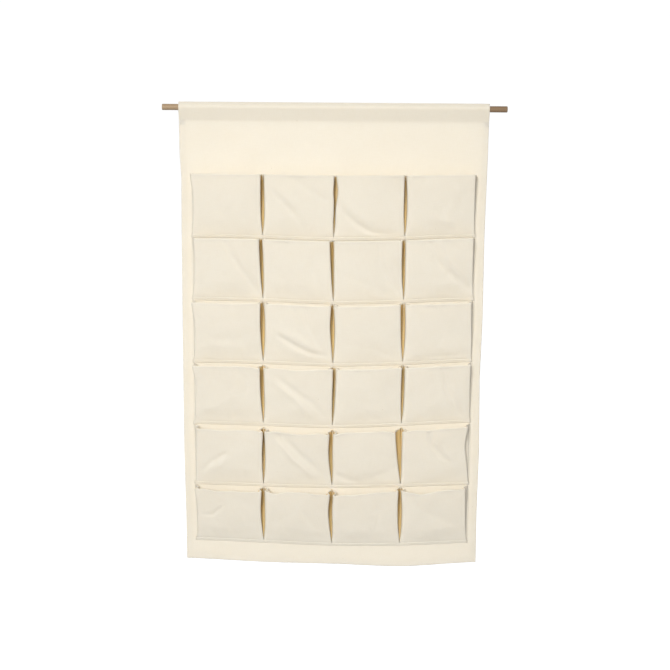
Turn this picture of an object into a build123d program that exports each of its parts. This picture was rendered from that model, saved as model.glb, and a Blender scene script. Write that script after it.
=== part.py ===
from build123d import *

import os

# A hanging shoe organizer: a canvas sheet with six rows of four bellows pockets, hung from a dowel.
# Millimetres. The origin is on the dowel's axis at mid-length, +X is the viewer's right, the pockets
# face -Y and +Z is up. Heights are Z values, depths are Y values, and the canvas is 1 mm throughout.

# Driving dimensions
cloth = 1.0
canvas_width = 656.0
foot_height = 57.0  # plain canvas under the lowest seam

dowel_radius = 6.5
dowel_length = 730.0
dowel_chamfer = 0.8
mark_width = 1.2  # turned mark round the dowel where the canvas edge sits
mark_depth = 0.3

sleeve_clearance = 0.4
sleeve_peak_z = 10.0  # middle of the crease pressed along the loop's top
sleeve_peak_radius = 1.5
sleeve_tip_radius = 1.2
sleeve_tip_z = -28.0  # where the loop closes
sleeve_bottom_z = -36.0
sleeve_stitch_z = -31.0
swing_z = -38.0  # the line about which the sheet swings under its sleeve

columns = 4
rows = 6
column_pitch = 153.0
row_pitch = 138.0
first_seam_z = -274.0

pocket_width = 148.0
pocket_height = 131.0  # bottom seam to rim
pocket_rim_y = -33.0
belly_y = -7.5
belly_height = 10.0
pocket_back_y = -0.9
pocket_bottom_gap = 0.4

sewn_flange_height = 6.0
sewn_valley_width = 3.0
hem_width = 12.0
hem_start_gap = 5.0  # the side hems start this far under the sheet's top edge
thread_width = 0.8
thread_height = 0.3
tack_width = 2.0
tack_length = 8.0
tack_height = 0.6

# Worked out from them
front_y = -cloth / 2  # front face of the sheet
sewn_face_y = front_y - cloth  # front face of what is sewn flat on the sheet
panel_top_z = 2 * swing_z - sleeve_bottom_z
last_seam_z = first_seam_z - (rows - 1) * row_pitch
panel_bottom_z = last_seam_z - foot_height
hem_stitch_inset = hem_width - 2.0
column_lines = [(i - columns / 2) * column_pitch for i in range(columns + 1)]


def seam_z(row):
    """Height of a row's bottom seam, with rows counted from 1 at the top."""
    return first_seam_z - (row - 1) * row_pitch


def column_x(column):
    """Middle of a column, with columns counted from 1 at the left."""
    return (column - (columns + 1) / 2) * column_pitch


def front_plane(y):
    """A plane facing the viewer at depth y, drawn on in X and Z."""
    return Plane.XZ.offset(-y)


def keep(part, label):
    """Label a finished piece and write it under the same name."""
    part.label = label
    export_step(part, f"parts/{label}.step")


os.makedirs("parts", exist_ok=True)

# Dowel: a round rod with broken end edges and a shallow mark just outside each edge of the canvas
with BuildPart() as dowel:
    with BuildSketch(Plane.YZ.offset(-dowel_length / 2)):
        Circle(dowel_radius)
    extrude(amount=dowel_length)
    chamfer(dowel.edges(), dowel_chamfer)
    for mark_x in (-canvas_width / 2 - mark_width, canvas_width / 2):
        with BuildSketch(Plane.YZ.offset(mark_x)):
            Circle(dowel_radius)
            Circle(dowel_radius - mark_depth, mode=Mode.SUBTRACT)
        extrude(amount=mark_width, mode=Mode.SUBTRACT)
keep(dowel.part, "dowel")

# Hanging sleeve: the sheet's top end, folded over the dowel as a loop, creased along its top and sewn
# to itself underneath
with BuildPart() as sleeve:
    with BuildSketch(Plane.YZ.offset(-canvas_width / 2)):
        with BuildLine():
            CenterArc((0, 0), dowel_radius + sleeve_clearance + cloth, 0, 360)
            CenterArc((0, sleeve_peak_z), sleeve_peak_radius, 0, 360)
            CenterArc((0, sleeve_tip_z), sleeve_tip_radius, 0, 360)
        make_hull()
        offset(amount=-cloth, mode=Mode.SUBTRACT)
        with Locations((0, (sleeve_tip_z + sleeve_bottom_z) / 2)):
            Rectangle(2 * cloth, sleeve_tip_z - sleeve_bottom_z)
    extrude(amount=canvas_width)
keep(sleeve.part, "hanging_sleeve")

# Sleeve thread: one seam's thread along each face of the sleeve's flange
with BuildPart() as sleeve_thread:
    for face_y in (-cloth, cloth + thread_height):
        with BuildSketch(front_plane(face_y)):
            with Locations((0, sleeve_stitch_z)):
                Rectangle(canvas_width, thread_width)
        extrude(amount=thread_height)
keep(sleeve_thread.part, "sleeve_thread")

# Back panel: the sheet, with hems turned to the back along its sides and its bottom edge
with BuildPart() as back_panel:
    with BuildSketch(front_plane(cloth / 2)):
        with Locations((0, (panel_top_z + panel_bottom_z) / 2)):
            Rectangle(canvas_width, panel_top_z - panel_bottom_z)
    extrude(amount=cloth)
    with BuildSketch(front_plane(cloth * 3 / 2)):
        hem_length = panel_top_z - hem_start_gap - panel_bottom_z
        hem_x = (canvas_width - hem_width) / 2
        with Locations((-hem_x, panel_bottom_z + hem_length / 2), (hem_x, panel_bottom_z + hem_length / 2)):
            Rectangle(hem_width, hem_length)
        with Locations((0, panel_bottom_z + hem_width / 2)):
            Rectangle(canvas_width, hem_width)
    extrude(amount=cloth)
keep(back_panel.part, "back_panel")

# Hem thread: one run of thread down each side, with the bottom hem's joining them
with BuildPart() as hem_thread:
    with BuildSketch(front_plane(front_y)):
        thread_x = canvas_width / 2 - hem_stitch_inset
        thread_bottom_z = panel_bottom_z + hem_stitch_inset
        thread_top_z = panel_top_z - hem_start_gap
        with Locations(
            (-thread_x, (thread_top_z + thread_bottom_z) / 2),
            (thread_x, (thread_top_z + thread_bottom_z) / 2),
        ):
            Rectangle(thread_width, thread_top_z - thread_bottom_z)
        with Locations((0, thread_bottom_z)):
            Rectangle(2 * thread_x + thread_width, thread_width)
    extrude(amount=thread_height)
keep(hem_thread.part, "hem_thread")

# Bar tacks: a dense block of thread over each pleat's top corner
with BuildPart() as bar_tacks:
    with BuildSketch(front_plane(sewn_face_y)):
        tacks_middle_z = (first_seam_z + last_seam_z) / 2 + pocket_height - tack_length / 2
        with Locations((0, tacks_middle_z)):
            with GridLocations(column_pitch, row_pitch, columns + 1, rows):
                Rectangle(tack_width, tack_length)
    extrude(amount=tack_height)
keep(bar_tacks.part, "bar_tacks")


def sewn_edge(row):
    """What is sewn flat of a row's strip: its bottom flange, and the pleat valleys that rise from it."""
    seam = seam_z(row)
    flange_width = column_lines[-1] - column_lines[0] + sewn_valley_width
    with BuildPart() as edge:
        with BuildSketch(front_plane(front_y)):
            with Locations((0, seam - sewn_flange_height / 2)):
                Rectangle(flange_width, sewn_flange_height)
            with Locations([(x, seam + pocket_height / 2) for x in column_lines]):
                Rectangle(sewn_valley_width, pocket_height)
        extrude(amount=cloth)
    return edge.part


def pocket(row, column):
    """A pocket's straight front, curved in to its seam, and two side gussets, open at its top and back."""
    end_x = column_x(column) - pocket_width / 2
    end_plane = Plane(origin=(end_x, 0, seam_z(row)), x_dir=(0, 1, 0), z_dir=(1, 0, 0))
    bottom_corner = (pocket_back_y, pocket_bottom_gap)
    belly = (belly_y, belly_height)
    rim = (pocket_rim_y, pocket_height)
    with BuildPart() as bag:
        with BuildSketch(end_plane):
            with BuildLine():
                front = Line(rim, belly)
                TangentArc(belly, bottom_corner, tangent=front % 1)
                Polyline(bottom_corner, (pocket_back_y, pocket_height), rim)
            make_face()
        extrude(amount=pocket_width)
        mouth = bag.faces().sort_by(Axis.Z)[-1]
        back = bag.faces().sort_by(Axis.Y)[-1]
        offset(amount=-cloth, openings=[mouth, back], kind=Kind.INTERSECTION)
    return bag.part


for row in range(1, rows + 1):
    keep(sewn_edge(row), f"row_{row}_sewn_edge")
    for column in range(1, columns + 1):
        keep(pocket(row, column), f"pocket_r{row}c{column}")
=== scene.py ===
import math

import bpy
import numpy as np
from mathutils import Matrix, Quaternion, Vector, noise


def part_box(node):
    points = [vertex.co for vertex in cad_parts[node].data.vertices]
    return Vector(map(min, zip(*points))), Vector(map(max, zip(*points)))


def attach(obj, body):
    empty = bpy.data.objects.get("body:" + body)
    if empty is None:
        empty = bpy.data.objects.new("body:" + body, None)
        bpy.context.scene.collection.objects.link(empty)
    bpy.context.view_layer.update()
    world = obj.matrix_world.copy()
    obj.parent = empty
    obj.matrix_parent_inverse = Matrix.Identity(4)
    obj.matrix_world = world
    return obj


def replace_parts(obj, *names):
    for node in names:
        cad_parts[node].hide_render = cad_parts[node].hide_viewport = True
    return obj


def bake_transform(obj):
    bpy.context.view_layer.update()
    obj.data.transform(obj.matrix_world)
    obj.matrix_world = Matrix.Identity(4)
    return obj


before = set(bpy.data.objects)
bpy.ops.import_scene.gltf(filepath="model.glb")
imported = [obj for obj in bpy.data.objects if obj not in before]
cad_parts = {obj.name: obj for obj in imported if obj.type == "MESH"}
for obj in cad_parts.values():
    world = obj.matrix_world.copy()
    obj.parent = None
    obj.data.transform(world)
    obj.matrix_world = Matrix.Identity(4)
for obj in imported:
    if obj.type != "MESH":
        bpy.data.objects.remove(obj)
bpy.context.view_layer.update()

# The canvas of this hanging shoe organizer, and its lights, camera and materials. Shapes are worked
# out in millimetres in the frame's axes (X to the viewer's right, -Y towards the viewer, Z up) from
# the CAD boxes, and turned into metres when a mesh is made.

MM = 0.001


# ---- sizes from the frame


def node_box(node):
    """Lowest and highest corners of a CAD node, in millimetres."""
    low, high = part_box(node)
    return np.array(low) / MM, np.array(high) / MM


ROWS = range(1, 7)
COLUMNS = range(1, 5)
CLOTH = 0.7  # thickness of the canvas
LAYER = 1.0  # from one layer's middle to the next in a hem
FLANGE = 6.0  # height of a row's sewn edge below its seam
EDGE_OVER = 1.5  # of a row's sewn edge past its outer pleat lines
THREAD_HALF = 0.4  # half the height of the CAD sleeve's thread

dowel_high = node_box("dowel")[1]
sleeve_low, sleeve_high = node_box("hanging_sleeve")
panel_low, panel_high = node_box("back_panel")
edge_low, edge_high = node_box("row_1_sewn_edge")

DOWEL_RADIUS = dowel_high[2]
HALF_WIDTH = panel_high[0]
BOTTOM_Z = panel_low[2]
LAST_LINE_X = (edge_high[0] - edge_low[0]) / 2 - EDGE_OVER
PITCH_X = 2 * LAST_LINE_X / len(COLUMNS)
SEAM_Z = {row: node_box(f"row_{row}_sewn_edge")[0][2] + FLANGE for row in ROWS}
POCKET_HEIGHT = edge_high[2] - SEAM_Z[1]
LINE_X = [(i - len(COLUMNS) / 2) * PITCH_X for i in range(len(COLUMNS) + 1)]
SWING_Z = (sleeve_low[2] + panel_high[2]) / 2
SLEEVE_STITCH_Z = node_box("sleeve_thread")[0][2] + THREAD_HALF
HEM_STITCH_INSET = HALF_WIDTH - node_box("hem_thread")[1][0]


# ---- the shape of this organizer

GAP_SHARE = 0.82  # of the gaps below, so that all of them open or close together

# How far each pleat line has opened, from its bottom seam (first) to its rim (last), in millimetres:
# the width of the gap between the two fronts, and how far its middle leans to the right.
# Lines are counted from the left. The first and last lines are the row's outer edges, where the gap
# runs from the line to the one front.
GAP_WIDTH = {
    1: ((1.5, 5, 6, 1), (1.5, 8.5, 9.3, 8), (1, 4.5, 4.2, 11.5, 4), (1.5, 7.5, 7.5, 5.2), (2, 5, 7, 8.5)),
    2: ((1.5, 7, 9, 8), (1.5, 6.6, 9, 8), (1.5, 5.6, 7, 7), (1.5, 7, 8.8, 8), (2, 5, 7, 8)),
    3: ((2.5, 6, 7, 1), (1.5, 9, 12.5, 9.5), (1.5, 8, 12, 7), (1.5, 9, 12, 12.5), (1.5, 3, 7, 10)),
    4: ((2.5, 5, 9, 1), (1.5, 8, 10, 10), (1.5, 5.6, 7.6, 7), (1.5, 6.6, 8.6, 8), (1.5, 3, 5, 6)),
    5: ((3, 5, 8, 9), (1.5, 6.8, 7.6, 3), (1.5, 8, 10.5, 10), (1.5, 8.5, 13, 14.5), (1.5, 8, 16, 10)),
    6: ((5, 6, 6, 3), (1.5, 8.5, 11, 8.5), (1.5, 8, 10, 8.5), (1.5, 9.3, 11.5, 8), (2, 7, 10, 13)),
}
GAP_LEAN = {
    1: ((0, 0.3, 0.5, 0.7), (0, 1.0, 3.8, 3.4), (0, -0.5, -1.2, -2.7)),
    2: ((0, -1.3, -2.7, -4), (0, -2.3, -4.6, -6.9), (0, -2.4, -3.8, -4.2)),
    3: ((0, -0.2, -0.4, -0.5), (0, -1.0, -2.3, -2.4), (0, -1.0, -2.2, -3.8)),
    4: ((0, -1.0, -2.2, -2.5), (0, 1.4, 3.0, 4.6), (0, 0, 0, 0)),
    5: ((0, 0.6, 1.3, 2.1), (0, -3.0, -5.2, -3.3), (0, -3.8, -7.6, -11)),
    6: ((0, -0.9, -1.3, 0), (0, -2.6, -4.9, -1.8), (0, -1.2, -2.4, -3.7)),
}

# Creases in a pocket's front: points across (percent, from the left) and up (percent, from the seam),
# how deep it is pressed in, in millimetres (negative stands out), and how wide it is.
CREASE_STRENGTH = 0.8  # of all of them together
CREASES = {
    (1, 1): [(((25, 85), (50, 60), (75, 15)), -1.2, 14)],
    (1, 2): [
        (((13, 72), (30, 52), (44, 36), (57, 18)), 2.6, 5),
        (((20, 78), (40, 58), (62, 34)), -1.6, 9),
        (((38, 95), (62, 78), (97, 55)), 1.8, 10),
    ],
    (1, 3): [
        (((6, 52), (17, 36), (32, 22), (55, 7), (85, 3)), 4.2, 5.5),
        (((12, 62), (30, 40), (55, 24)), -2.0, 9),
    ],
    (1, 4): [(((10, 50), (40, 30), (90, 8)), -1.4, 12)],
    (2, 1): [(((48, 96), (58, 72), (76, 40), (93, 14)), 3.0, 7), (((62, 96), (74, 66), (90, 36)), -1.8, 8)],
    (2, 2): [(((75, 80), (72, 50), (85, 20)), 1.4, 9)],
    (2, 3): [(((65, 95), (68, 68), (82, 32), (95, 14)), 2.4, 7), (((5, 48), (35, 34), (68, 20)), 1.4, 10)],
    (2, 4): [(((38, 94), (50, 62), (70, 38), (97, 14)), 3.2, 6), (((50, 94), (66, 60), (90, 36)), -1.8, 9)],
    (3, 1): [(((10, 45), (40, 36), (75, 42)), 1.0, 12)],
    (3, 2): [
        (((22, 46), (45, 30), (68, 18), (88, 15)), 4.0, 4.5),
        (((20, 56), (50, 42), (80, 24)), -2.6, 8),
        (((60, 95), (70, 60), (84, 25)), 1.6, 7),
        (((50, 95), (60, 60), (76, 30)), -1.2, 7),
    ],
    (3, 3): [(((18, 32), (55, 27), (90, 10)), 1.1, 8)],
    (3, 4): [(((30, 8), (60, 7.5), (95, 9)), 1.3, 4)],
    (4, 1): [(((68, 95), (80, 70), (72, 35)), 1.4, 8), (((15, 20), (35, 32), (60, 50)), -1.4, 10)],
    (4, 2): [(((15, 74), (42, 50), (70, 16)), -2.6, 6), (((20, 84), (46, 60), (70, 40), (86, 20)), 2.8, 6)],
    (4, 3): [(((80, 75), (76, 45), (88, 15)), 1.4, 9)],
    (4, 4): [(((58, 92), (66, 55), (78, 22), (88, 6)), 3.0, 6), (((74, 70), (80, 45), (92, 20)), -1.6, 6)],
    (5, 1): [(((44, 56), (25, 42), (10, 24)), 2.2, 6), (((50, 50), (36, 34), (20, 20)), -1.6, 8)],
    (5, 2): [
        (((20, 98), (24, 80)), 2.4, 4),
        (((20, 82), (44, 50), (72, 18)), -3.4, 6),
        (((28, 94), (52, 64), (72, 40), (88, 20)), 3.2, 7),
    ],
    (5, 3): [(((2, 25), (20, 12), (40, 6)), 2.0, 6), (((50, 10), (70, 20), (95, 30)), 1.4, 8)],
    (5, 4): [(((40, 98), (46, 76), (60, 52), (74, 40)), 3.6, 5), (((52, 98), (60, 70), (76, 50)), -2.0, 7)],
    (6, 1): [(((10, 48), (24, 50), (42, 70)), 2.4, 4.5)],
    (6, 2): [(((52, 90), (60, 60), (74, 35)), 1.8, 8)],
    (6, 3): [(((68, 85), (70, 50), (62, 20)), 1.6, 9)],
    (6, 4): [(((15, 80), (40, 60), (80, 35)), 1.4, 12)],
}

# Where a rim dips: middle (0 to 1 across), how far down, and half width (0 to 1)
RIM_DIPS = {
    (3, 1): [(0.5, 1.5, 0.25)],
    (4, 1): [(1, 4, 0.12)],
    (4, 2): [(0, 4, 0.12), (0.45, 4, 0.25)],
    (5, 1): [(0.35, 2, 0.2), (1, 4, 0.1)],
    (5, 2): [(0, 4, 0.1), (0.55, 5, 0.28), (1, 5, 0.1)],
    (5, 3): [(0, 5, 0.1), (1, 5, 0.1)],
    (5, 4): [(0, 5, 0.1), (0.4, 2, 0.15)],
    (6, 1): [(0.35, 4, 0.14), (0.75, 4, 0.25)],
    (6, 2): [(0.16, 6, 0.12), (0.78, 4, 0.15), (1, 6, 0.12)],
    (6, 3): [(0, 6, 0.12), (0.28, 6, 0.28)],
    (6, 4): [(0.33, 7.5, 0.2)],
}

# How far the hanging cloth is drawn up from where it was cut, at the five pleat lines, by height
DRAWN_UP = [
    (0, (0, 0, 0, 0, 0)),
    (SEAM_Z[1], (5, 3.5, 0, 3.5, 9)),
    (SEAM_Z[2], (6, 4.5, 0, 3.5, 9)),
    (SEAM_Z[3], (5, 4, 0, 4, 11)),
    (SEAM_Z[4], (4.5, 2, -1, 4.5, 12)),
    (SEAM_Z[5], (3, 0.5, -1, 2, 7)),
    (SEAM_Z[6], (10, 6.5, 1, 3, 8.5)),
    (BOTTOM_Z, (17, 11.5, 8.5, 4.5, 12)),
]

# How far the sheet's side edges wander in from straight, left and right, by height
EDGES_IN = [
    (0, -2, 1),
    (-100, -1.5, 1.5),
    (-150, 1.5, 2),
    (-270, 0, 3.5),
    (-450, -1, 2),
    (-600, -1.5, 4.5),
    (-750, -2, 1),
    (-900, 0, 2.5),
    (BOTTOM_Z, 0.5, 1.5),
]
EDGE_ZONE = 0.15  # share of the half width that follows its edge

HELD_DOWN, FREE_OVER = 45.0, 120.0  # it hangs straight so far down, and comes free over this
BOW = 5.0  # how far the middle of the foot comes forward
BOW_CURVE = 1.6  # share of the bow that the side edges lose
WAVES = ((1.6, 96, 310, 0.0), (1.2, 61, -170, 1.3))  # height, lengths across and down, and start
WAVES_AT_TOP = 0.4  # share of the waves that is there at the top
DRAWN_FROM, DRAWN_OVER = 20.0, 180.0  # below the dowel, where the drawing up starts


# ---- curves and fields


def through(values, t):
    """A smooth curve through values spaced evenly over t from 0 to 1 (Catmull-Rom)."""
    values = np.asarray(values, float)
    last = len(values) - 1
    t = np.clip(np.asarray(t, float), 0, 1) * last
    i = np.minimum(t.astype(int), last - 1)
    f = t - i
    before = values[np.maximum(i - 1, 0)]
    start, end = values[i], values[i + 1]
    after = values[np.minimum(i + 2, last)]
    slope = end - before
    bend = 2 * before - 5 * start + 4 * end - after
    turn = 3 * (start - end) + after - before
    return start + 0.5 * f * (slope + f * (bend + f * turn))


def ease(x):
    """0 below 0, 1 above 1 and smooth between."""
    x = np.clip(x, 0, 1)
    return x * x * (3 - 2 * x)


def to_polyline(x, z, points):
    """Distance from (x, z) to a polyline, and how far along it the nearest point is, from 0 to 1."""
    nearest = np.full(x.shape, 1e9)
    along = np.zeros(x.shape)
    points = np.asarray(points, float)
    lengths = np.linalg.norm(np.diff(points, axis=0), axis=1)
    done = 0.0
    for start, end, length in zip(points[:-1], points[1:], lengths):
        step = (end - start) / length
        f = np.clip((x - start[0]) * step[0] + (z - start[1]) * step[1], 0, length)
        distance = np.hypot(x - start[0] - f * step[0], z - start[1] - f * step[1])
        closer = distance < nearest
        nearest[closer] = distance[closer]
        along[closer] = (done + f[closer]) / lengths.sum()
        done += length
    return nearest, along


def rumple(x, z, seed, size, octaves=3):
    """Smooth noise from about -1 to 1 over two arrays of positions, with waves of about size."""
    flat = zip(x.ravel() / size, z.ravel() / size)
    values = [noise.fractal(Vector((a, b, seed * 7.31)), 0.9, 2.1, octaves) for a, b in flat]
    return np.array(values).reshape(x.shape)


def drawn_up(x, z):
    """How far the cloth at (x, z) is drawn up."""
    heights = [height for height, _ in DRAWN_UP][::-1]
    across = (x / LAST_LINE_X + 1) / 2
    by_height = [through(values, across) for _, values in DRAWN_UP][::-1]
    result = np.zeros(x.shape)
    for low, high, low_value, high_value in zip(heights[:-1], heights[1:], by_height[:-1], by_height[1:]):
        inside = (z >= low) & (z < high)
        f = ease((z - low) / (high - low))
        result = np.where(inside, low_value + (high_value - low_value) * f, result)
    return np.where(z < heights[0], by_height[0], result)


def edge_in(x, z):
    """How far the sheet's side edges are drawn in at height z, to the right at the left edge."""
    heights = [row[0] for row in EDGES_IN][::-1]
    left = np.interp(z, heights, [row[1] for row in EDGES_IN][::-1])
    right = np.interp(z, heights, [row[2] for row in EDGES_IN][::-1])
    near_left = ease((-x / HALF_WIDTH - (1 - EDGE_ZONE)) / EDGE_ZONE)
    near_right = ease((x / HALF_WIDTH - (1 - EDGE_ZONE)) / EDGE_ZONE)
    return left * near_left - right * near_right


def hang(points):
    """Moves points of the cloth from where it was cut to where it hangs. The sleeve stays on the dowel."""
    points = np.array(points, float)
    x, y, z = points[..., 0], points[..., 1], points[..., 2]
    down = z / BOTTOM_Z
    free = ease((-z - HELD_DOWN) / FREE_OVER)
    bow = -BOW * free * down * (1 - BOW_CURVE * (x / HALF_WIDTH) ** 2)
    waves = sum(height * np.sin(x / across + z / along + start) for height, across, along, start in WAVES)
    points[..., 0] = x + edge_in(x, z)
    points[..., 1] = y + bow + free * waves * (WAVES_AT_TOP + (1 - WAVES_AT_TOP) * down)
    points[..., 2] = z + ease((-z - DRAWN_FROM) / DRAWN_OVER) * drawn_up(x, z)
    return points


# ---- meshes


def unit(vectors):
    """Vectors made one long."""
    return vectors / np.maximum(np.linalg.norm(vectors, axis=-1, keepdims=True), 1e-9)


def reach(points):
    """How far along a line of points each point is."""
    return np.concatenate([[0], np.cumsum(np.linalg.norm(np.diff(points, axis=0), axis=1))])


def unit_normals(points):
    """Unit normals of a grid. On one that runs right and up they face the viewer."""
    return unit(np.cross(np.gradient(points, axis=1), np.gradient(points, axis=0)))


class Sheet:
    """A grid of points that is a piece of cloth: rows go up it and columns go across it."""

    def __init__(self, points, flat, pleat_shade=None, doubled=None):
        self.points = points
        self.flat = flat  # where each point was on the flat cloth
        shape = points.shape[:2]
        # how much painted shade each point gets: golden in the pleats, slight where the cloth is doubled
        self.pleat_shade = np.zeros(shape) if pleat_shade is None else pleat_shade
        self.doubled = np.zeros(shape) if doubled is None else doubled


def shade_smooth(mesh):
    mesh.polygons.foreach_set("use_smooth", [True] * len(mesh.polygons))


def add_to_scene(name, data):
    obj = bpy.data.objects.new(name, data)
    bpy.context.scene.collection.objects.link(obj)
    return obj


def new_object(name, vertices, faces, smooth=True):
    mesh = bpy.data.meshes.new(name)
    mesh.from_pydata((np.asarray(vertices).reshape(-1, 3) * MM).tolist(), [], faces)
    mesh.update()
    if smooth:
        shade_smooth(mesh)
    return add_to_scene(name, mesh)


def apply_modifiers(obj):
    depsgraph = bpy.context.evaluated_depsgraph_get()
    depsgraph.update()
    made = bpy.data.meshes.new_from_object(
        obj.evaluated_get(depsgraph), preserve_all_data_layers=True, depsgraph=depsgraph
    )
    obj.modifiers.clear()
    obj.data = made


def cloth_object(name, sheet):
    """A closed cloth mesh, one canvas layer thick, with the flat cloth as its UV map in metres."""
    rows, columns = sheet.points.shape[:2]
    index = np.arange(rows * columns).reshape(rows, columns)
    corners = np.stack([index[:-1, :-1], index[:-1, 1:], index[1:, 1:], index[1:, :-1]], axis=-1)
    obj = new_object(name, sheet.points, corners.reshape(-1, 4).tolist())
    mesh = obj.data
    uv = mesh.uv_layers.new(name="cloth")
    loop_vertex = np.empty(len(mesh.loops), int)
    mesh.loops.foreach_get("vertex_index", loop_vertex)
    uv.data.foreach_set("uv", (sheet.flat.reshape(-1, 2)[loop_vertex] * MM).ravel())
    # the masks of painted shade, read by the canvas material
    for label, values in (("pleat_shade", sheet.pleat_shade), ("doubled", sheet.doubled)):
        attribute = mesh.attributes.new(label, "FLOAT", "POINT")
        attribute.data.foreach_set("value", values.ravel().astype(np.float32))
    solid = obj.modifiers.new("thickness", "SOLIDIFY")
    solid.thickness = CLOTH * MM
    solid.offset = 0
    solid.use_even_offset = False
    apply_modifiers(obj)
    return obj


STITCH_RADIUS = 0.25
STITCH_PITCH = 3.4
STITCH_SHARE = 0.68  # of the pitch, that one stitch is long
STITCH_RINGS = ((0, 0.25, -0.35), (0.25, 0.9, 0.15), (0.75, 0.9, 0.15), (1, 0.25, -0.35))  # along, size, lift
STITCH_SECTION = ((1, -0.5), (0.6, 0.8), (-0.6, 0.8), (-1, -0.5))  # corners of a ring, sideways and up


def stitch_mesh(starts, ends, normals):
    """Vertices and faces of one raised stitch from each start to its end, lying on the cloth."""
    along = ends - starts
    side = unit(np.cross(along, normals))
    parts = []
    for f, size, lift in STITCH_RINGS:
        for a, b in STITCH_SECTION:
            offset = side * (a * size * STITCH_RADIUS) + normals * ((b * size + lift) * STITCH_RADIUS)
            parts.append(starts + along * f + offset)
    vertices = np.stack(parts, axis=1)
    sides = len(STITCH_SECTION)
    last = sides * (len(STITCH_RINGS) - 1)
    local = []
    for ring in range(0, last, sides):
        for k in range(sides):
            a, b = ring + k, ring + (k + 1) % sides
            local.append((a, b, b + sides, a + sides))
    local += [tuple(range(sides))[::-1], tuple(range(last, last + sides))]
    count = vertices.shape[1]
    faces = [tuple(n * count + v for v in face) for n in range(len(vertices)) for face in local]
    return vertices.reshape(-1, 3), faces


class Thread:
    """Collects runs of stitches into one piece."""

    def __init__(self):
        self.vertices, self.faces, self.count = [], [], 0

    def run(self, points, normals, pitch=STITCH_PITCH, share=STITCH_SHARE):
        """Stitches along a polyline, one every pitch."""
        along = reach(points)
        number = max(int(along[-1] / pitch), 1)
        begin = (np.arange(number) + (1 - share) / 2) * along[-1] / number
        end = begin + share * along[-1] / number

        def on(values, s):
            return np.stack([np.interp(s, along, values[:, k]) for k in range(3)], axis=1)

        middle = unit(on(normals, (begin + end) / 2))
        vertices, faces = stitch_mesh(on(points, begin), on(points, end), middle)
        self.vertices.append(vertices)
        self.faces += [tuple(v + self.count for v in face) for face in faces]
        self.count += len(vertices)

    def make(self, name):
        return new_object(name, np.concatenate(self.vertices), self.faces)


# ---- the sheet: sleeve, panel and hems


def arc(start, end, radius, steps, middle_z=0.0):
    """Points (y, z) on an arc about a point on the Z axis, angles in degrees from +Y towards +Z."""
    angles = np.radians(np.linspace(start, end, steps))
    return [(radius * math.cos(a), middle_z + radius * math.sin(a)) for a in angles]


def line(start, end, step):
    """Points from start to end, without the end."""
    start, end = np.array(start, float), np.array(end, float)
    count = max(int(round(np.linalg.norm(end - start) / step)), 1)
    return [tuple(start + (end - start) * i / count) for i in range(count)]


LOOP_EASE = 1.5  # from the dowel to the middle of the cloth round it
LOOP_RADIUS = DOWEL_RADIUS + LOOP_EASE
PEAK_RADIUS = 1.6  # of the crease pressed along the loop's top
PEAK_Z = sleeve_high[2] - CLOTH / 2 - PEAK_RADIUS
NECK_Z = -27.0  # where the loop's two walls meet
NECK_GRID = 6.0  # how far below the neck the grid stays fine
TAIL_END_Z = sleeve_low[2] - 1.0
TAIL_Y = 1.1
HEM_WIDTH = 12.0
HEM_COLUMNS = 4
FOLD = ((0.1, 0.4), (0.5, 0.0), (0.9, 0.4))  # a hem's fold: layers behind the face, and in from the edge
FOLD_END = 1.2  # where the fold ends, in from the edge
FACE_START = 1.4  # where the face's grid starts over the foot
GRID_STEP = 5.0
CORNER_SPREAD = 8.0  # over which the bottom hem moves behind the side hems
HEM_SHOWS = 0.6  # how much of a side hem's painted shade shows on the face over it


def sheet_section():
    """The sheet's path in (y, z): down the foot's hem, up the front, over the dowel and down the tail."""
    under = math.degrees(math.asin(LOOP_RADIUS / -NECK_Z))
    over = math.degrees(math.asin((LOOP_RADIUS - PEAK_RADIUS) / PEAK_Z))
    path = line((LAYER, BOTTOM_Z + HEM_WIDTH), (LAYER, BOTTOM_Z + FOLD_END), step=4.0)
    path += [(LAYER * layer, BOTTOM_Z + up) for layer, up in FOLD[::-1]]
    path += line((0, BOTTOM_Z + FACE_START), (0, NECK_Z - NECK_GRID), GRID_STEP)
    path += line((0, NECK_Z - NECK_GRID), (0, NECK_Z), step=2.0)
    front = arc(180 + under, 180 - over, LOOP_RADIUS, steps=9)
    back = arc(over, -under, LOOP_RADIUS, steps=9)
    path += line((0, NECK_Z), front[0], step=2.5)
    path += front + arc(180 - over, over, PEAK_RADIUS, steps=7, middle_z=PEAK_Z) + back
    path += line(back[-1], (TAIL_Y, NECK_Z), step=2.5)[1:]
    path += line((TAIL_Y, NECK_Z), (TAIL_Y, TAIL_END_Z), step=2.0)
    path.append((TAIL_Y, TAIL_END_Z))
    return np.array(path)


def panel_columns():
    """For each column across the sheet: its x, how many layers behind the face it lies, and its flat x."""
    face_x = HALF_WIDTH - FOLD_END
    face = np.linspace(-face_x, face_x, int(2 * HALF_WIDTH / GRID_STEP))
    fold_layer, fold_in = np.array(FOLD).T
    fold_x = HALF_WIDTH - fold_in
    hem_x = np.linspace(face_x, HALF_WIDTH - HEM_WIDTH, HEM_COLUMNS)
    hem_layer = np.ones(HEM_COLUMNS)
    x = np.concatenate([-hem_x[::-1], -fold_x[::-1], face, fold_x, hem_x])
    layer = np.concatenate([hem_layer, fold_layer[::-1], np.zeros(len(face)), fold_layer, hem_layer])
    flat = np.concatenate([[0], np.cumsum(np.hypot(np.diff(x), np.diff(layer) * LAYER))])
    return x, layer, flat - flat.mean()


def doubled_places(path, x, layer):
    """How doubled the sheet is, from 0 to 1: in its hems, on the face over them, and in the sleeve. It sets
    the painted shade where less light comes through.
    """
    in_hem = np.maximum(layer > 0, HEM_SHOWS * (np.abs(x) > HALF_WIDTH - HEM_WIDTH))
    in_sleeve = ease((path[:, 1] - SLEEVE_STITCH_Z + 1) / 2)
    return np.maximum(in_hem[None, :], in_sleeve[:, None])


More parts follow.
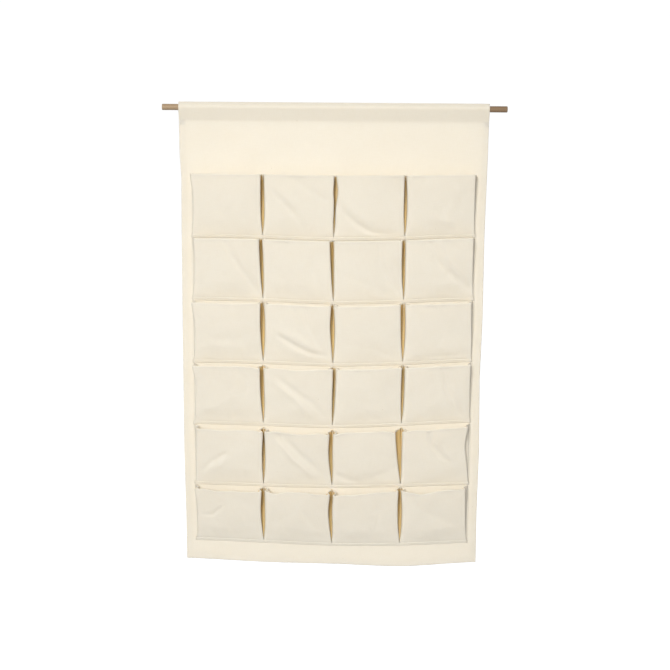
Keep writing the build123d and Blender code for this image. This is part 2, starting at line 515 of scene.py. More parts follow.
def panel_sheet():
    """The whole sheet, puckered and hung."""
    path = sheet_section()
    x, layer, flat_x = panel_columns()
    step = unit(np.gradient(path, axis=0))
    inward = np.stack([step[:, 1], -step[:, 0]], axis=1)  # to the sheet's back, or the loop's inside
    points = np.zeros((len(path), len(x), 3))
    points[..., 0] = x
    points[..., 1] = path[:, :1] + inward[:, :1] * layer * LAYER
    points[..., 2] = path[:, 1:] + inward[:, 1:] * layer * LAYER
    in_bottom_hem = (path[:, :1] > LAYER / 3) & (path[:, 1:] < BOTTOM_Z + HEM_WIDTH + 1)
    at_corner = ease((np.abs(x) - HALF_WIDTH + HEM_WIDTH + CORNER_SPREAD) / CORNER_SPREAD)
    points[..., 1] += np.where(in_bottom_hem, 2 * LAYER * at_corner, 0)
    flat = np.stack(np.meshgrid(flat_x, reach(path)), axis=-1)
    return Sheet(hang(pucker(points)), flat, doubled=doubled_places(path, x, layer))


PUCKER_FROM = 40.0  # below the dowel, and all there as far down again
RUMPLE, RUMPLE_SIZE = 0.7, 70
RIPPLE_SIZE = 9
SEAM_PUCKER, SEAM_REACH = 0.55, 9  # how deep, and how far from a row's seam
LINE_PUCKER, LINE_REACH = 0.4, 8  # and beside a pleat line
SEAM_PAST, SEAM_FADE = 14, 12  # how far past a row's ends the puckers go, and over what they fade


def pucker(points):
    """Small puckers along the lines where the pockets are sewn on, and a slow rumple all over."""
    x, z = points[..., 0], points[..., 2]
    below = ease((-z - PUCKER_FROM) / PUCKER_FROM)
    inside = ease((LAST_LINE_X + SEAM_PAST - np.abs(x)) / SEAM_FADE)
    offset = RUMPLE * below * rumple(x, z, 1, RUMPLE_SIZE)
    ripple = rumple(x, z, 2, RIPPLE_SIZE, 2)
    for row in ROWS:
        near = np.exp(-(((z - SEAM_Z[row]) / SEAM_REACH) ** 2)) * inside
        offset += SEAM_PUCKER * near * ripple
        beside = (z > SEAM_Z[row]) & (z < SEAM_Z[row] + POCKET_HEIGHT)
        for line_x in LINE_X:
            near = np.where(beside, np.exp(-(((x - line_x) / LINE_REACH) ** 2)), 0)
            offset += LINE_PUCKER * near * ripple
    points = points.copy()
    points[..., 1] += offset
    return points


# ---- pockets

SEAM_DEPTH = 2.9  # of the front, over the pleats sewn flat under it
BELLY = 1.5  # how far the front swells just above its seam
BELLY_RISE = 5.0
CROWN = 3.0  # how far a rim's middle stands out
RIM_DEPTH = 31.5
RIM_UP = {1: 3.0, 2: 1.5, 5: -2.0}  # rows that were cut a little taller, or sit lower
LEFT_ROUND = 6.0  # radius of a front's left edge, which the pleat has left open
RIGHT_ROUND = 2.5
OUTER_ROUND = 0.8  # of the edges at the row's ends
LEAST_GAP = 0.3
SEAM_SHARE, SEAM_OVER = 0.3, 0.1  # of a gap at the seam, and of the height over which it opens
CREASE_SIDE = 1.6  # how sharply a crease's sides fall away
FREE_OVER_SEAM = 0.12  # share of the height over which creases come in
RUMPLES = ((0.9, 60, 0), (0.35, 20, 0.5))  # height, size and seed
SWELL = 0.25  # how much the belly differs from place to place
DIP_FROM = 0.3  # share of the height where a rim's dips start

GUSSET = 19.0  # half the width of a bellows side
SLACK = 1.02  # a side is at least this much longer than the way across it
NEAR_FOLD = 0.93  # how far along a side its last column before the fold is
FOLD_NEAR, FOLD_FAR = 0.9, 0.3  # how far the fold keeps behind the front, and before the valley
OPENED, OPENED_OVER = 0.5, 14.0  # share of the fold that opens at the rim, from so far down
SHADE_TOP, SHADE_FADE = 4.0, 3.0  # below the rim, where the painted golden shade fades, and over what
VALLEY_SHARE = 0.5  # how much of a rim's rise or dip its pleat valley shares
VALLEY_HALF = 1.2  # from a pleat line to where a pocket's cloth leaves its valley
VALLEY_Y = -1.75

HEM = 5.0  # rim hem, folded to the inside
RIM_FOLD = ((0.0, 0.5), (0.5, 0.95), (1.6, 1.1), (2.8, 1.1), (3.9, 1.1), (HEM, 1.1))  # down and back
FOLD_RISE = 0.4  # of the rim's fold over the front's last row
FOLD_CLOTH = 0.7  # that the fold takes up
RIM_STITCH = 3.8  # under the rim
EDGE_COLUMN = 1.3  # width of the grid's outer columns
FRONT_COLUMNS, GUSSET_COLUMNS = 40, 5
LOW_ROWS = (0, 1.2, 2.6, 4.2, 6, 8, 10.5, 13.5)  # close together over the seam
MIDDLE_START, ROW_STEP = 17.5, 3.9
STITCH_ROWS = (-1.2, -0.5, 0, 0.5, 1.3)  # about the rim's stitches
RIM_ROWS = (1.4, 0.5)  # below the rim


def heights():
    """Heights above the seam at which a pocket's grid has rows, up to its rim."""
    stitch = POCKET_HEIGHT - RIM_STITCH
    middle = np.arange(MIDDLE_START, stitch - 2.5, ROW_STEP)
    high = [stitch + up for up in STITCH_ROWS]
    top = [POCKET_HEIGHT - down for down in RIM_ROWS]
    return np.concatenate([LOW_ROWS, middle, high, top])


def gaps(row, column, t):
    """How far a pocket's two front edges stand from its pleat lines at heights t."""
    widths = GAP_WIDTH[row]
    leans = ((0,) * 4,) + GAP_LEAN[row] + ((0,) * 4,)
    left, right = column - 1, column
    first, last = 0, len(COLUMNS)
    left_gap = through(widths[left], t) * (1 if left == first else 0.5) + through(leans[left], t)
    right_gap = through(widths[right], t) * (1 if right == last else 0.5) - through(leans[right], t)
    closing = GAP_SHARE * (SEAM_SHARE + (1 - SEAM_SHARE) * ease(t / SEAM_OVER))
    return np.maximum(left_gap * closing, LEAST_GAP), np.maximum(right_gap * closing, LEAST_GAP)


def creased(row, column, s, t, width):
    """How far the creases press a front in at (s, t)."""
    x, z = s * width, t * POCKET_HEIGHT
    total = np.zeros(x.shape)
    for points, depth, wide in CREASES.get((row, column), ()):
        points = [(a / 100 * width, b / 100 * POCKET_HEIGHT) for a, b in points]
        distance, along = to_polyline(x, z, points)
        fade = np.sqrt(np.clip(np.sin(math.pi * np.clip(along * 0.9 + 0.05, 0, 1)), 0, 1))
        total += CREASE_STRENGTH * depth * fade * np.exp(-np.abs(distance / wide) ** CREASE_SIDE)
    return total


def front_profile(h, t):
    """Depth of a pocket's front at height h, without creases."""
    return SEAM_DEPTH + BELLY * (1 - np.exp(-h / BELLY_RISE)) + (RIM_DEPTH - SEAM_DEPTH - BELLY) * t


def front_columns():
    """Where a front's grid has columns, from 0 at its left edge to 1 at its right."""
    edge = EDGE_COLUMN / PITCH_X
    inner = np.linspace(3.2 * edge, 1 - 3.2 * edge, FRONT_COLUMNS)
    return np.concatenate([[0, edge], inner, [1 - edge, 1]])


def front_relief(row, column, s, t, x, h):
    """How far a front stands out from its profile at (s, t): its crown, swell, creases and rumples."""
    seed = row * 10 + column
    free = ease(t / FREE_OVER_SEAM)
    crown = CROWN * np.sin(math.pi * s) ** 0.7 * ease(t / 0.3)
    rumpled = sum(high * rumple(x, h + 0 * s, seed + more, size) for high, size, more in RUMPLES)
    swell = SWELL * rumple(s * 2.2, 0 * t, seed + 0.7, 1.0, 1)
    belly = BELLY * (1 - np.exp(-h / BELLY_RISE)) * swell * np.sin(math.pi * s) ** 0.5
    return crown + belly * (1 - t) - free * creased(row, column, s, t, PITCH_X) + free * rumpled


def edge_rounding(column, s, width, depth):
    """How far a front curls back at its left and right edges."""
    left_round = OUTER_ROUND if column == 1 else LEFT_ROUND
    right_round = OUTER_ROUND if column == len(COLUMNS) else RIGHT_ROUND
    total = np.zeros(s.shape)
    for beside, radius in ((s * width, left_round), ((1 - s) * width, right_round)):
        back = radius * (1 - np.sqrt(1 - np.clip(1 - beside / radius, 0, 1) ** 2))
        total += np.minimum(back, 0.6 * (depth - SEAM_DEPTH))
    return total


def pocket_front(row, column, h, t):
    """The grid of a pocket's front, from its left edge to its right."""
    left_gap, right_gap = (gap[:, None] for gap in gaps(row, column, t))
    depth = front_profile(h, t)[:, None]
    rim_up = (RIM_UP.get(row, 0) * ease(t))[:, None]
    s, t = np.meshgrid(front_columns(), t)
    h = h[:, None]
    width = PITCH_X - left_gap - right_gap
    front = np.zeros((*s.shape, 3))
    front[..., 0] = LINE_X[column - 1] + left_gap + s * width
    front[..., 1] = -(depth + front_relief(row, column, s, t, front[..., 0], h))
    front[..., 1] += edge_rounding(column, s, width, depth)
    front[..., 2] = h + rim_up
    for middle, drop, half in RIM_DIPS.get((row, column), ()):
        front[..., 2] -= drop * np.exp(-(((s - middle) / half) ** 2)) * ease((t - DIP_FROM) / (1 - DIP_FROM))
    return front


def pleat_shade_mask(column, h, columns, inner):
    """How much painted golden shade the two bellows sides get, each inner columns wide, for the shade deep in
    the slits between pockets. A row's outer sides are plain.
    """
    shade_amount = np.zeros((len(h), columns))
    deep = 1 - ease((h - POCKET_HEIGHT + SHADE_TOP) / SHADE_FADE)[:, None]
    if column > 1:
        shade_amount[:, :inner] = deep * np.linspace(1, 0, inner) ** 2
    if column < len(COLUMNS):
        shade_amount[:, -inner:] = deep * np.linspace(0.8, 1, inner)
    return shade_amount


def pocket_sheet(row, column):
    """One pocket as one pleated strip, and how many of its rows are below the rim's fold."""
    h = heights()
    front = pocket_front(row, column, h, h / POCKET_HEIGHT)
    left_x, right_x = LINE_X[column - 1], LINE_X[column]
    left = bellows(np.array([left_x + VALLEY_HALF, VALLEY_Y]), front[:, 0], h, 1)
    right = bellows(np.array([right_x - VALLEY_HALF, VALLEY_Y]), front[:, -1], h, -1)
    strip = np.concatenate([left, front, right[:, ::-1]], axis=1)
    strip[..., 2] += SEAM_Z[row]
    pleat_shade = pleat_shade_mask(column, h, strip.shape[1], left.shape[1])
    strip, up, pleat_shade = with_rim_hem(strip, h, pleat_shade)
    across = reach(strip[len(h) // 2])
    flat = np.stack(np.meshgrid(across + left_x * 1.5, up + SEAM_Z[row]), axis=-1)
    return Sheet(hang(strip), flat, pleat_shade), len(h)


def bellows(valley, edge, h, inward):
    """A pleated side from the valley sewn to the sheet, in behind the front, and out to the front's edge."""
    count = GUSSET_COLUMNS
    start = np.tile(valley, (len(h), 1))
    end = edge[:, :2].copy()
    chord = end - start
    size = np.linalg.norm(chord, axis=1)
    half = np.maximum(GUSSET, size / 2 * SLACK)
    opened = OPENED * ease((h - POCKET_HEIGHT + OPENED_OVER) / OPENED_OVER)
    offset = np.sqrt(half**2 - (size / 2) ** 2) * (1 - opened)
    across = np.stack([-chord[:, 1], chord[:, 0]], axis=1) / size[:, None]
    across *= np.sign(across[:, :1]) * inward
    fold = (start + end) / 2 + across * offset[:, None]
    fold[:, 1] = np.clip(fold[:, 1], end[:, 1] + FOLD_NEAR, VALLEY_Y - FOLD_FAR)
    steps = np.concatenate([np.linspace(0, NEAR_FOLD, count - 1), [1.0]])
    points = np.zeros((len(h), 2 * count - 2, 3))
    for k, f in enumerate(steps):
        points[:, k, :2] = start + (fold - start) * f
    for k, f in enumerate(steps[-2:0:-1]):
        points[:, count + k, :2] = end + (fold - end) * f
    rises = np.linspace(VALLEY_SHARE, 1, points.shape[1])
    points[..., 2] = h[:, None] + (edge[:, 2] - h)[:, None] * rises
    return points


def with_rim_hem(strip, up, pleat_shade):
    """Adds the rim's fold and the hem behind it."""
    normal = unit_normals(strip)[-3]
    rim = strip[-1]
    hem_rows, hem_up = [], []
    for down, back in RIM_FOLD:
        moved = rim - normal * back
        moved[:, 2] = rim[:, 2] + FOLD_RISE - down
        hem_rows.append(moved)
        hem_up.append(up[-1] + FOLD_CLOTH + down)
    strip = np.concatenate([strip, np.stack(hem_rows)])
    pleat_shade = np.concatenate([pleat_shade, np.repeat(pleat_shade[-1:], len(hem_rows), axis=0)])
    return strip, np.concatenate([up, hem_up]), pleat_shade


FLANGE_FLAT = 12.0  # height of the flange's strip, laid flat
FLANGE_SPAN = LAST_LINE_X + 2.0  # half its width
FLANGE_COLUMNS = 125
FLANGE_STEP = 1.6  # of its weave from row to row
FLANGE_PROFILE = (  # height over the seam, and depth
    (0.9, -3.4), (0.3, -3.6), (-0.6, -3.4), (-1.8, -2.9), (-3.2, -2.3),
    (-4.6, -1.9), (-5.8, -1.7), (-6.2, -1.2), (-5.8, -0.8),
)
VALLEY_FLAT = 3.4  # width of a valley's strip
VALLEY_SECTION = ((-0.5, -1.0), (-0.18, -0.95), (0.18, -0.95), (0.5, -1.0))  # across it, and depth
VALLEY_START, VALLEY_END = 0.5, 3.0  # from the seam, and from the rim
VALLEY_ROWS = 34


def flange_sheet(row):
    """The strip of a row's cloth under its seam, folded and sewn to the sheet."""
    x = np.linspace(-FLANGE_SPAN, FLANGE_SPAN, FLANGE_COLUMNS)
    points = np.zeros((len(FLANGE_PROFILE), len(x), 3))
    for i, (up, y) in enumerate(FLANGE_PROFILE):
        points[i, :, 0] = x
        points[i, :, 1] = y + 0.2 * rumple(x, 0 * x + i * 3.0, row + 20, 7, 1)
        points[i, :, 2] = SEAM_Z[row] + up + 0.35 * rumple(x, 0 * x, row, 18, 2)
    rises = SEAM_Z[row] - 8 + np.arange(len(FLANGE_PROFILE)) * FLANGE_STEP
    return Sheet(hang(points[::-1]), np.stack(np.meshgrid(x, rises), axis=-1))


def valley_sheet(row, line_x):
    """The strip of a row's cloth that is sewn flat at a pleat line. The inner ones get painted golden shade;
    those at the row's ends do not.
    """
    z = SEAM_Z[row] + np.linspace(VALLEY_START, POCKET_HEIGHT - VALLEY_END, VALLEY_ROWS)
    shares, depths = np.array(VALLEY_SECTION).T
    across = shares * VALLEY_FLAT
    strip = np.zeros((len(z), len(across), 3))
    strip[..., 0] = line_x + across
    strip[..., 1] = depths
    strip[..., 2] = z[:, None]
    flat = np.stack(np.meshgrid(across + line_x * 1.5, z), axis=-1)
    shade_amount = 0.0 if abs(line_x) > LAST_LINE_X - 1 else 1.0
    return Sheet(hang(strip), flat, pleat_shade=np.full(strip.shape[:2], shade_amount))


def joined(name, objects):
    """Joins objects into the first, which gets the name."""
    bpy.ops.object.select_all(action="DESELECT")
    for obj in objects:
        obj.select_set(True)
    bpy.context.view_layer.objects.active = objects[0]
    bpy.ops.object.join()
    objects[0].name = name
    objects[0].data.name = name
    return objects[0]


# ---- materials


class Nodes:
    """Short calls for building the node tree of a material or the world."""

    def __init__(self, owner, shader="Principled BSDF"):
        owner.use_nodes = True
        self.owner = owner
        self.tree = owner.node_tree
        self.shader = self.tree.nodes[shader]

    def add(self, kind, settings=None, **inputs):
        node = self.tree.nodes.new(kind)
        for key, value in (settings or {}).items():
            setattr(node, key, value)
        for key, value in inputs.items():
            self.set(node, key.replace("_", " "), value)
        return node

    def surface(self, **inputs):
        for key, value in inputs.items():
            self.set(self.shader, key.replace("_", " "), value)

    def set(self, node, key, value):
        socket = node.inputs[int(key[1:])] if key[:1] == "i" and key[1:].isdigit() else node.inputs[key]
        if isinstance(value, bpy.types.NodeSocket):
            self.tree.links.new(value, socket)
        else:
            socket.default_value = value

    def math(self, operation, a, b=0.0, c=0.0):
        node = self.add("ShaderNodeMath", {"operation": operation}, i0=a, i1=b)
        if operation == "MULTIPLY_ADD":
            self.set(node, "i2", c)
        return node.outputs[0]

    def noise(self, vector, scale, detail=3.0, roughness=0.55):
        node = self.add("ShaderNodeTexNoise", Vector=vector, Scale=scale, Detail=detail, Roughness=roughness)
        return node.outputs["Fac"]

    def stretch(self, vector, scale):
        node = self.add("ShaderNodeMapping", Vector=vector, Scale=scale)
        return node.outputs[0]

    def remap(self, value, low, high, to_low, to_high):
        node = self.add("ShaderNodeMapRange", i0=value, i1=low, i2=high, i3=to_low, i4=to_high)
        return node.outputs[0]

    def mix(self, factor, a, b, blend="MIX"):
        node = self.add("ShaderNodeMix", {"data_type": "RGBA", "blend_type": blend})
        self.set(node, "i0", factor)
        self.set(node, "i6", a)
        self.set(node, "i7", b)
        return node.outputs[2]

    def bump(self, height, strength, distance):
        node = self.add("ShaderNodeBump", Height=height, Strength=strength, Distance=distance)
        self.surface(Normal=node.outputs[0])

    def attribute(self, name):
        return self.add("ShaderNodeAttribute", {"attribute_name": name}).outputs["Fac"]


CANVAS = (0.86, 0.80, 0.685, 1)
CANVAS_DARK = (0.76, 0.68, 0.54, 1)
CANVAS_FLECK = (0.36, 0.24, 0.12, 1)
# colour of the painted golden shade deep in the pleats between pockets, where light bounces in the narrow
# slits
PLEAT_SHADE_COLOR = (0.93, 0.74, 0.39, 1)
# colour of the painted shade over doubled cloth, which lets less light through from behind
DOUBLED_SHADE_COLOR = (0.98, 0.975, 0.965, 1)
LIGHT_THROUGH = (1.0, 0.96, 0.88)  # how far each colour goes in the cloth
THREAD_PITCH = 0.00072  # of the weave, in metres


def weave_height(n, uv):
    """A plain weave: each thread is round across, and rises and dives between its neighbours."""
    split = n.add("ShaderNodeSeparateXYZ", i0=uv)
    waves = []
    for k in range(2):
        turns = n.math("MULTIPLY", split.outputs[k], math.pi / THREAD_PITCH)
        waves.append((n.math("SINE", turns), n.math("COSINE", turns)))
    (sin_u, cos_u), (sin_v, cos_v) = waves
    warp = n.math("MULTIPLY_ADD", sin_u, cos_v, n.math("ABSOLUTE", sin_u))
    weft_dive = n.math("MULTIPLY", sin_v, cos_u)
    weft = n.math("SUBTRACT", n.math("ABSOLUTE", sin_v), weft_dive)
    return n.math("MULTIPLY", n.math("MAXIMUM", warp, weft), 0.5)


def canvas_material():
    """Natural cotton canvas: plain weave with slubs, a few seed flecks and a slow change of tone, with
    painted shade in the weave's hollows, over doubled cloth and deep in the pleats.
    """
    n = Nodes(bpy.data.materials.new("canvas"))
    uv = n.add("ShaderNodeUVMap", {"uv_map": "cloth"}).outputs[0]
    weave = weave_height(n, uv)
    warp_slubs = n.noise(n.stretch(uv, (900, 60, 1)), 1.0, 2.0)
    weft_slubs = n.noise(n.stretch(uv, (50, 900, 1)), 1.0, 2.0)
    slubs = n.math("MULTIPLY", n.math("ADD", warp_slubs, weft_slubs), 0.5)
    tone = n.noise(uv, 9.0, 2.0)
    cloudy = n.noise(uv, 55.0, 3.0)

    color = n.mix(n.remap(slubs, 0.38, 0.66, 0.0, 0.22), CANVAS, CANVAS_DARK)
    color = n.mix(n.remap(tone, 0.35, 0.65, 0.0, 0.08), color, CANVAS_DARK)
    color = n.mix(n.remap(cloudy, 0.3, 0.7, 0.0, 0.06), color, CANVAS_DARK)
    # painted shade in the weave's hollows between threads
    color = n.mix(n.remap(weave, 0.15, 0.9, 0.12, 0.0), color, CANVAS_DARK)
    seeds = n.add("ShaderNodeTexVoronoi", {"feature": "F1"}, Vector=n.stretch(uv, (1.0, 0.55, 1)), Scale=75.0)
    near = n.remap(seeds.outputs["Distance"], 0.018, 0.04, 1.0, 0.0)
    chosen = n.add("ShaderNodeSeparateColor", i0=seeds.outputs["Color"]).outputs[0]
    rare = n.remap(chosen, 0.86, 0.9, 0.0, 0.7)
    color = n.mix(n.math("MULTIPLY", near, rare), color, CANVAS_FLECK)
    # painted shade where the cloth is doubled and lets less light through
    color = n.mix(n.attribute("doubled"), color, n.mix(1.0, color, DOUBLED_SHADE_COLOR, "MULTIPLY"))
    # painted golden shade deep in the pleats between pockets
    color = n.mix(n.attribute("pleat_shade"), color, n.mix(1.0, color, PLEAT_SHADE_COLOR, "MULTIPLY"))
    n.surface(Base_Color=color, Roughness=n.remap(slubs, 0.3, 0.7, 0.95, 0.82), Specular_IOR_Level=0.18)
    n.surface(Sheen_Weight=0.12, Sheen_Roughness=0.5)
    n.surface(Subsurface_Weight=0.35, Subsurface_Radius=LIGHT_THROUGH, Subsurface_Scale=0.0009)
    n.bump(n.math("MULTIPLY_ADD", slubs, 1.1, weave), 0.55, 0.00016)
    return n.owner


THREAD = (0.86, 0.80, 0.69, 1)
# colour of the painted shade in the thread's grooves
THREAD_GROOVE_SHADE = (0.72, 0.64, 0.50, 1)
THREAD_FUZZ = (0.88, 0.83, 0.73, 1)


def thread_material():
    """Twisted cotton sewing thread, with painted shade in the grooves of its twist."""
    n = Nodes(bpy.data.materials.new("thread"))
    place = n.add("ShaderNodeTexCoord").outputs["Object"]
    bands = {"wave_type": "BANDS", "bands_direction": "DIAGONAL"}
    wave = n.add("ShaderNodeTexWave", bands, Vector=place, Scale=900.0, Distortion=1.5, Detail=1.0)
    twist = wave.outputs["Fac"]
    fuzz = n.noise(place, 2500.0, 2.0)
    # painted shade in the grooves of the twist
    color = n.mix(n.remap(twist, 0.2, 0.8, 0.5, 0.0), THREAD, THREAD_GROOVE_SHADE)
    color = n.mix(n.remap(fuzz, 0.4, 0.7, 0.0, 0.3), color, THREAD_FUZZ)
    n.surface(Base_Color=color, Roughness=0.75, Specular_IOR_Level=0.3)
    n.bump(twist, 0.5, 0.0001)
    return n.owner


WOOD = (0.47, 0.335, 0.20, 1)
WOOD_RING = (0.36, 0.24, 0.135, 1)
WOOD_FIBRE = (0.27, 0.175, 0.095, 1)
WOOD_PALE = (0.55, 0.42, 0.28, 1)
WOOD_PORE = (0.17, 0.105, 0.06, 1)
WOOD_END_SHADE = (0.20, 0.12, 0.06, 1)  # painted shade: the rod's right end is darker
HEART_Y, HEART_Z = -0.021, 0.013  # of the tree, beside the rod
RING_WIDTH = 0.0016


def wood_material():
    """Bare sanded hardwood: growth rings about a far-off heart, drawn out along the rod, and short pores,
    with painted shade darkening it towards its right end.
    """
    n = Nodes(bpy.data.materials.new("wood"))
    place = n.add("ShaderNodeTexCoord").outputs["Object"]
    wander = n.noise(n.stretch(place, (3.0, 60.0, 60.0)), 1.0, 2.0)
    split = n.add("ShaderNodeSeparateXYZ", i0=place)
    off_y = n.math("ADD", split.outputs[1], -HEART_Y)
    off_z = n.math("ADD", split.outputs[2], -HEART_Z)
    squared = n.math("MULTIPLY_ADD", off_y, off_y, n.math("MULTIPLY", off_z, off_z))
    radius = n.math("MULTIPLY_ADD", wander, 0.0035, n.math("SQRT", squared))
    rings = n.math("SINE", n.math("MULTIPLY", radius, 2 * math.pi / RING_WIDTH))
    fibres = n.noise(n.stretch(place, (14.0, 2200.0, 2200.0)), 1.0, 3.0, 0.6)
    pores = n.noise(n.stretch(place, (120.0, 3800.0, 3800.0)), 1.0, 1.0)
    shade = n.noise(n.stretch(place, (9.0, 30.0, 30.0)), 1.0, 2.0)
    color = n.mix(n.remap(rings, -1.0, 1.0, 0.0, 1.0), WOOD, WOOD_RING)
    color = n.mix(n.remap(fibres, 0.35, 0.7, 0.0, 0.55), color, WOOD_FIBRE)
    color = n.mix(n.remap(shade, 0.35, 0.65, 0.0, 0.3), color, WOOD_PALE)
    color = n.mix(n.remap(pores, 0.66, 0.74, 0.0, 0.6), color, WOOD_PORE)
    # painted shade, darker towards the rod's right end
    color = n.mix(n.remap(split.outputs[0], -0.3, 0.36, 0.0, 0.8), color, WOOD_END_SHADE)
    n.surface(Base_Color=color, Roughness=n.remap(fibres, 0.3, 0.7, 0.52, 0.72), Specular_IOR_Level=0.35)
    n.bump(n.math("MULTIPLY_ADD", fibres, 0.7, n.math("MULTIPLY", pores, -0.8)), 0.5, 0.0002)
    return n.owner


def paint(obj, material):
    obj.data.materials.clear()
    obj.data.materials.append(material)


# ---- building the pieces

canvas = canvas_material()
thread = thread_material()
wood = wood_material()
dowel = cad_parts["dowel"]
paint(dowel, wood)
shade_smooth(dowel.data)

STITCH_SUNK = 0.12  # of the rim's stitches in the cloth
HEM_THREAD_GAP = 8.0  # under the swing's axis
SEAM_THREAD_Y, SEAM_THREAD_DOWN = -2.55, 3.2  # on the flange, and under the seam
VALLEY_THREAD_Y, VALLEY_THREAD_END = -1.4, 7.0  # in a valley, and its end under the rim
TACK_Y, TACK_HALF, TACK_TOP = -1.6, 1.3, 3.5  # before a valley, across it, and under the rim
TACK_LENGTH, TACK_STEP, TACK_PITCH = 6.5, 0.75, 2.6


def build_sheet():
    """The sheet, one cloth from the bottom hem to the tail behind the sleeve."""
    made = panel_sheet()
    obj = cloth_object("canvas_sheet", made)
    paint(obj, canvas)
    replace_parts(obj, "back_panel", "hanging_sleeve")
    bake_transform(obj)


def rim_stitches(made):
    """Stitches through the rim hem, along the front."""
    row = list(heights()).index(POCKET_HEIGHT - RIM_STITCH)
    inner = 2 * GUSSET_COLUMNS - 2
    columns = slice(inner + 1, made.points.shape[1] - inner - 1)
    normals = unit_normals(made.points)[row, columns]
    run = Thread()
    run.run(made.points[row, columns] + normals * (CLOTH / 2 - STITCH_SUNK), normals)
    return run


def build_pocket(row, column):
    """A pocket's cloth, from where it is sewn on the sheet out to its front, with its rim's stitches."""
    name = f"pocket_r{row}c{column}"
    made, rows = pocket_sheet(row, column)
    cloth = cloth_object(f"{name}_canvas", made)
    paint(cloth, canvas)
    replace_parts(cloth, name)
    stitches = rim_stitches(made).make(f"{name}_rim_stitches")
    paint(stitches, thread)
    for obj in (cloth, stitches):
        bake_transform(obj)


def on_sheet(x, z, y):
    """Points on the hung sheet's face, y in front of or behind its middle, for lines of x and z."""
    x, z = np.broadcast_arrays(np.asarray(x, float), np.asarray(z, float))
    points = np.stack([x, np.full(x.shape, float(y)), z], axis=-1)
    return hang(pucker(points[None]))[0]


def facing(count, y):
    return np.tile([0.0, y, 0.0], (count, 1))


def build_sewn_edge(row):
    """The row's seam flange, and its five sewn pleat valleys, whose flat size is side by side."""
    strips = [cloth_object(f"row_{row}_valley_{k}", valley_sheet(row, x)) for k, x in enumerate(LINE_X)]
    pieces = [
        (cloth_object(f"row_{row}_flange", flange_sheet(row)), (2 * FLANGE_SPAN, FLANGE_FLAT)),
        (joined(f"row_{row}_valleys", strips), (len(strips) * VALLEY_FLAT, POCKET_HEIGHT)),
    ]
    for obj, flat in pieces:
        paint(obj, canvas)
        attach(obj, "panel")
    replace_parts(pieces[0][0], f"row_{row}_sewn_edge")


def thread_piece(run, name, body):
    """A run of stitches as a piece that rides with a body."""
    obj = run.make(name)
    paint(obj, thread)
    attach(obj, body)
    return obj


def sew(run, x, z, front_y, back_y=CLOTH / 2):
    """Stitches along a line on the sheet, on its face and through to its back."""
    for y, side in ((front_y, -1), (back_y, 1)):
        points = on_sheet(x, z, y)
        run.run(points, facing(len(points), side))


def build_row_threads():
    """The seams that hold the rows on the sheet, and those in their pleat valleys."""
    run = Thread()
    seam_x = np.linspace(-LAST_LINE_X - 1, LAST_LINE_X + 1, 160)
    for row in ROWS:
        sew(run, seam_x, SEAM_Z[row] - SEAM_THREAD_DOWN, SEAM_THREAD_Y)
        valley_z = SEAM_Z[row] + np.linspace(0, POCKET_HEIGHT - VALLEY_THREAD_END, VALLEY_ROWS)
        for line_x in LINE_X:
            sew(run, line_x, valley_z, VALLEY_THREAD_Y)
    thread_piece(run, "row_seam_threads", "panel")


def build_hem_thread():
    """Both side hems and the bottom hem."""
    run = Thread()
    hem_x = HALF_WIDTH - HEM_STITCH_INSET
    hem_z = BOTTOM_Z + HEM_STITCH_INSET
    for x in (-hem_x, hem_x):
        sew(run, x, np.linspace(hem_z, SWING_Z - HEM_THREAD_GAP, 200), -CLOTH / 2, LAYER + CLOTH / 2)
    sew(run, np.linspace(-hem_x, hem_x, 130), hem_z, -CLOTH / 2, LAYER + CLOTH / 2)
    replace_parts(thread_piece(run, "hem_stitches", "panel"), "hem_thread")


def build_sleeve_thread():
    """The seam under the dowel."""
    run = Thread()
    x = np.linspace(-HALF_WIDTH + 2, HALF_WIDTH - 2, 130)
    sew(run, x, SLEEVE_STITCH_Z, -CLOTH / 2, TAIL_Y + CLOTH / 2)
    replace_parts(thread_piece(run, "sleeve_stitches", "sleeve"), "sleeve_thread")


def build_bar_tacks():
    """A dense bar of cross stitches at the top of each pleat valley."""
    run = Thread()
    for row in ROWS:
        top = SEAM_Z[row] + POCKET_HEIGHT - TACK_TOP
        for line_x in LINE_X:
            for z in np.arange(top - TACK_LENGTH, top + 0.6, TACK_STEP):
                points = on_sheet(line_x + np.array([-TACK_HALF, TACK_HALF]), z, TACK_Y)
                run.run(points, facing(2, -1), pitch=TACK_PITCH, share=1.0)
    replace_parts(thread_piece(run, "bar_tack_threads", "panel"), "bar_tacks")


build_sheet()
for row in ROWS:
    build_sewn_edge(row)
    for column in COLUMNS:
        build_pocket(row, column)
build_row_threads()
build_hem_thread()
build_sleeve_thread()
build_bar_tacks()


# ---- stage, light and camera

FLOOR_Z = -1.5
FLOOR_HALF = 14.0
STAGE_DARK = (0.30, 0.30, 0.30, 1)
STAGE_LIGHT = (0.32, 0.32, 0.32, 1)
KEY = {"place": (-0.75, -4.2, 0.9), "target": (0.04, 0, -0.7), "size": 1.4, "power": 30.5, "spread": 76.0}
FILL = {"place": (1.2, 3.1, 0.6), "target": (0, 0, -0.45), "size": 1.6, "power": 30.0}


def stage_material():
    """White vinyl, lit evenly enough to leave no horizon."""
    n = Nodes(bpy.data.materials.new("stage"))
    place = n.add("ShaderNodeTexCoord").outputs["Object"]
    grain = n.noise(place, 40.0, 3.0)
    n.surface(Base_Color=n.mix(grain, STAGE_DARK, STAGE_LIGHT), Roughness=1.0, Specular_IOR_Level=0.0)
    n.surface(Emission_Color=(1, 1, 1, 1), Emission_Strength=0.95)
    return n.owner


def build_stage():
    corners = [(x * FLOOR_HALF, y * FLOOR_HALF, FLOOR_Z) for x, y in ((-1, -1), (1, -1), (1, 1), (-1, 1))]
    floor = new_object("floor", np.array(corners) / MM, [(0, 1, 2, 3)], smooth=False)
    paint(floor, stage_material())
    floor.visible_diffuse = False


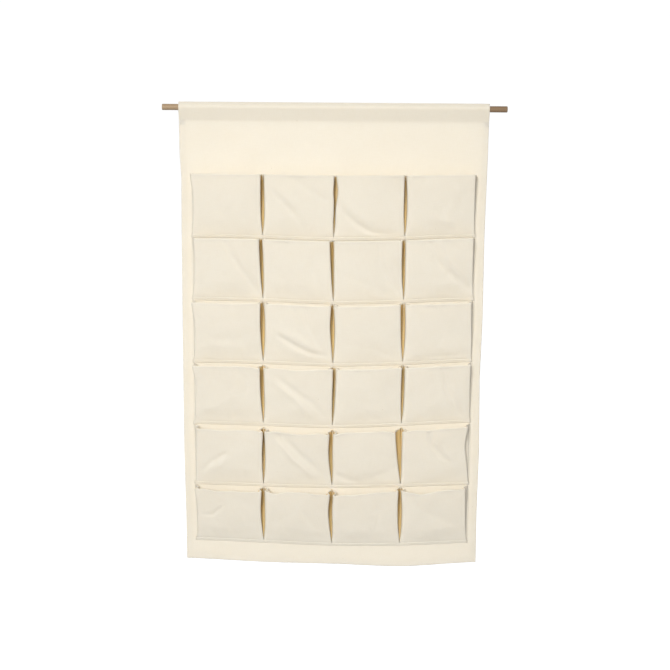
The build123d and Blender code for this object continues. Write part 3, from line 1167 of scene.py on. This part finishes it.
SURROUND = 1.02  # what is seen behind the object
WORLD_LEVEL = 0.46  # what the surround lights it with
WORLD_ABOVE = 0.15  # taken off overhead
WORLD_BELOW = 0.4  # taken off underneath


def build_world():
    """A white surround that lights the object gently, and less from overhead and underneath."""
    world = bpy.data.worlds.new("studio")
    bpy.context.scene.world = world
    n = Nodes(world, "Background")
    split = n.add("ShaderNodeSeparateXYZ", i0=n.add("ShaderNodeTexCoord").outputs["Generated"])
    above = n.remap(split.outputs[2], 0.25, 1.0, WORLD_LEVEL, WORLD_LEVEL - WORLD_ABOVE)
    below = n.remap(split.outputs[2], -0.15, -1.0, 0.0, -WORLD_BELOW)
    seen = n.add("ShaderNodeLightPath").outputs["Is Camera Ray"]
    level = n.add("ShaderNodeMix", Factor=seen, A=n.math("ADD", above, below), B=SURROUND)
    n.surface(Color=(1, 1, 1, 1), Strength=level.outputs["Result"])


def area_light(name, place, target, size, power, spread=180):
    data = bpy.data.lights.new(name, "AREA")
    data.size = size
    data.energy = power
    data.spread = math.radians(spread)
    light = add_to_scene(name, data)
    light.location = place
    light.rotation_euler = (Vector(target) - Vector(place)).to_track_quat("-Z", "Y").to_euler()


CAMERA_PLACE = (0.004, -2.475, -0.049)
CAMERA_PITCH, CAMERA_ROLL = 10.04, 0.42
CAMERA_LENS = 61.7


def build_camera():
    """A little under the dowel, looking 10 degrees down."""
    data = bpy.data.cameras.new("camera")
    data.lens = CAMERA_LENS
    data.sensor_width = 36.0
    camera = add_to_scene("camera", data)
    pitch = math.radians(CAMERA_PITCH)
    look = Vector((0, math.cos(pitch), -math.sin(pitch)))
    turn = look.to_track_quat("-Z", "Y")
    camera.rotation_mode = "QUATERNION"
    camera.rotation_quaternion = turn @ Quaternion((0, 0, 1), math.radians(CAMERA_ROLL))
    camera.location = CAMERA_PLACE
    bpy.context.scene.camera = camera


build_stage()
build_world()
area_light("key", **KEY)
area_light("fill", **FILL)
build_camera()
bpy.context.scene.view_settings.view_transform = "Standard"
bpy.context.scene.view_settings.look = "None"
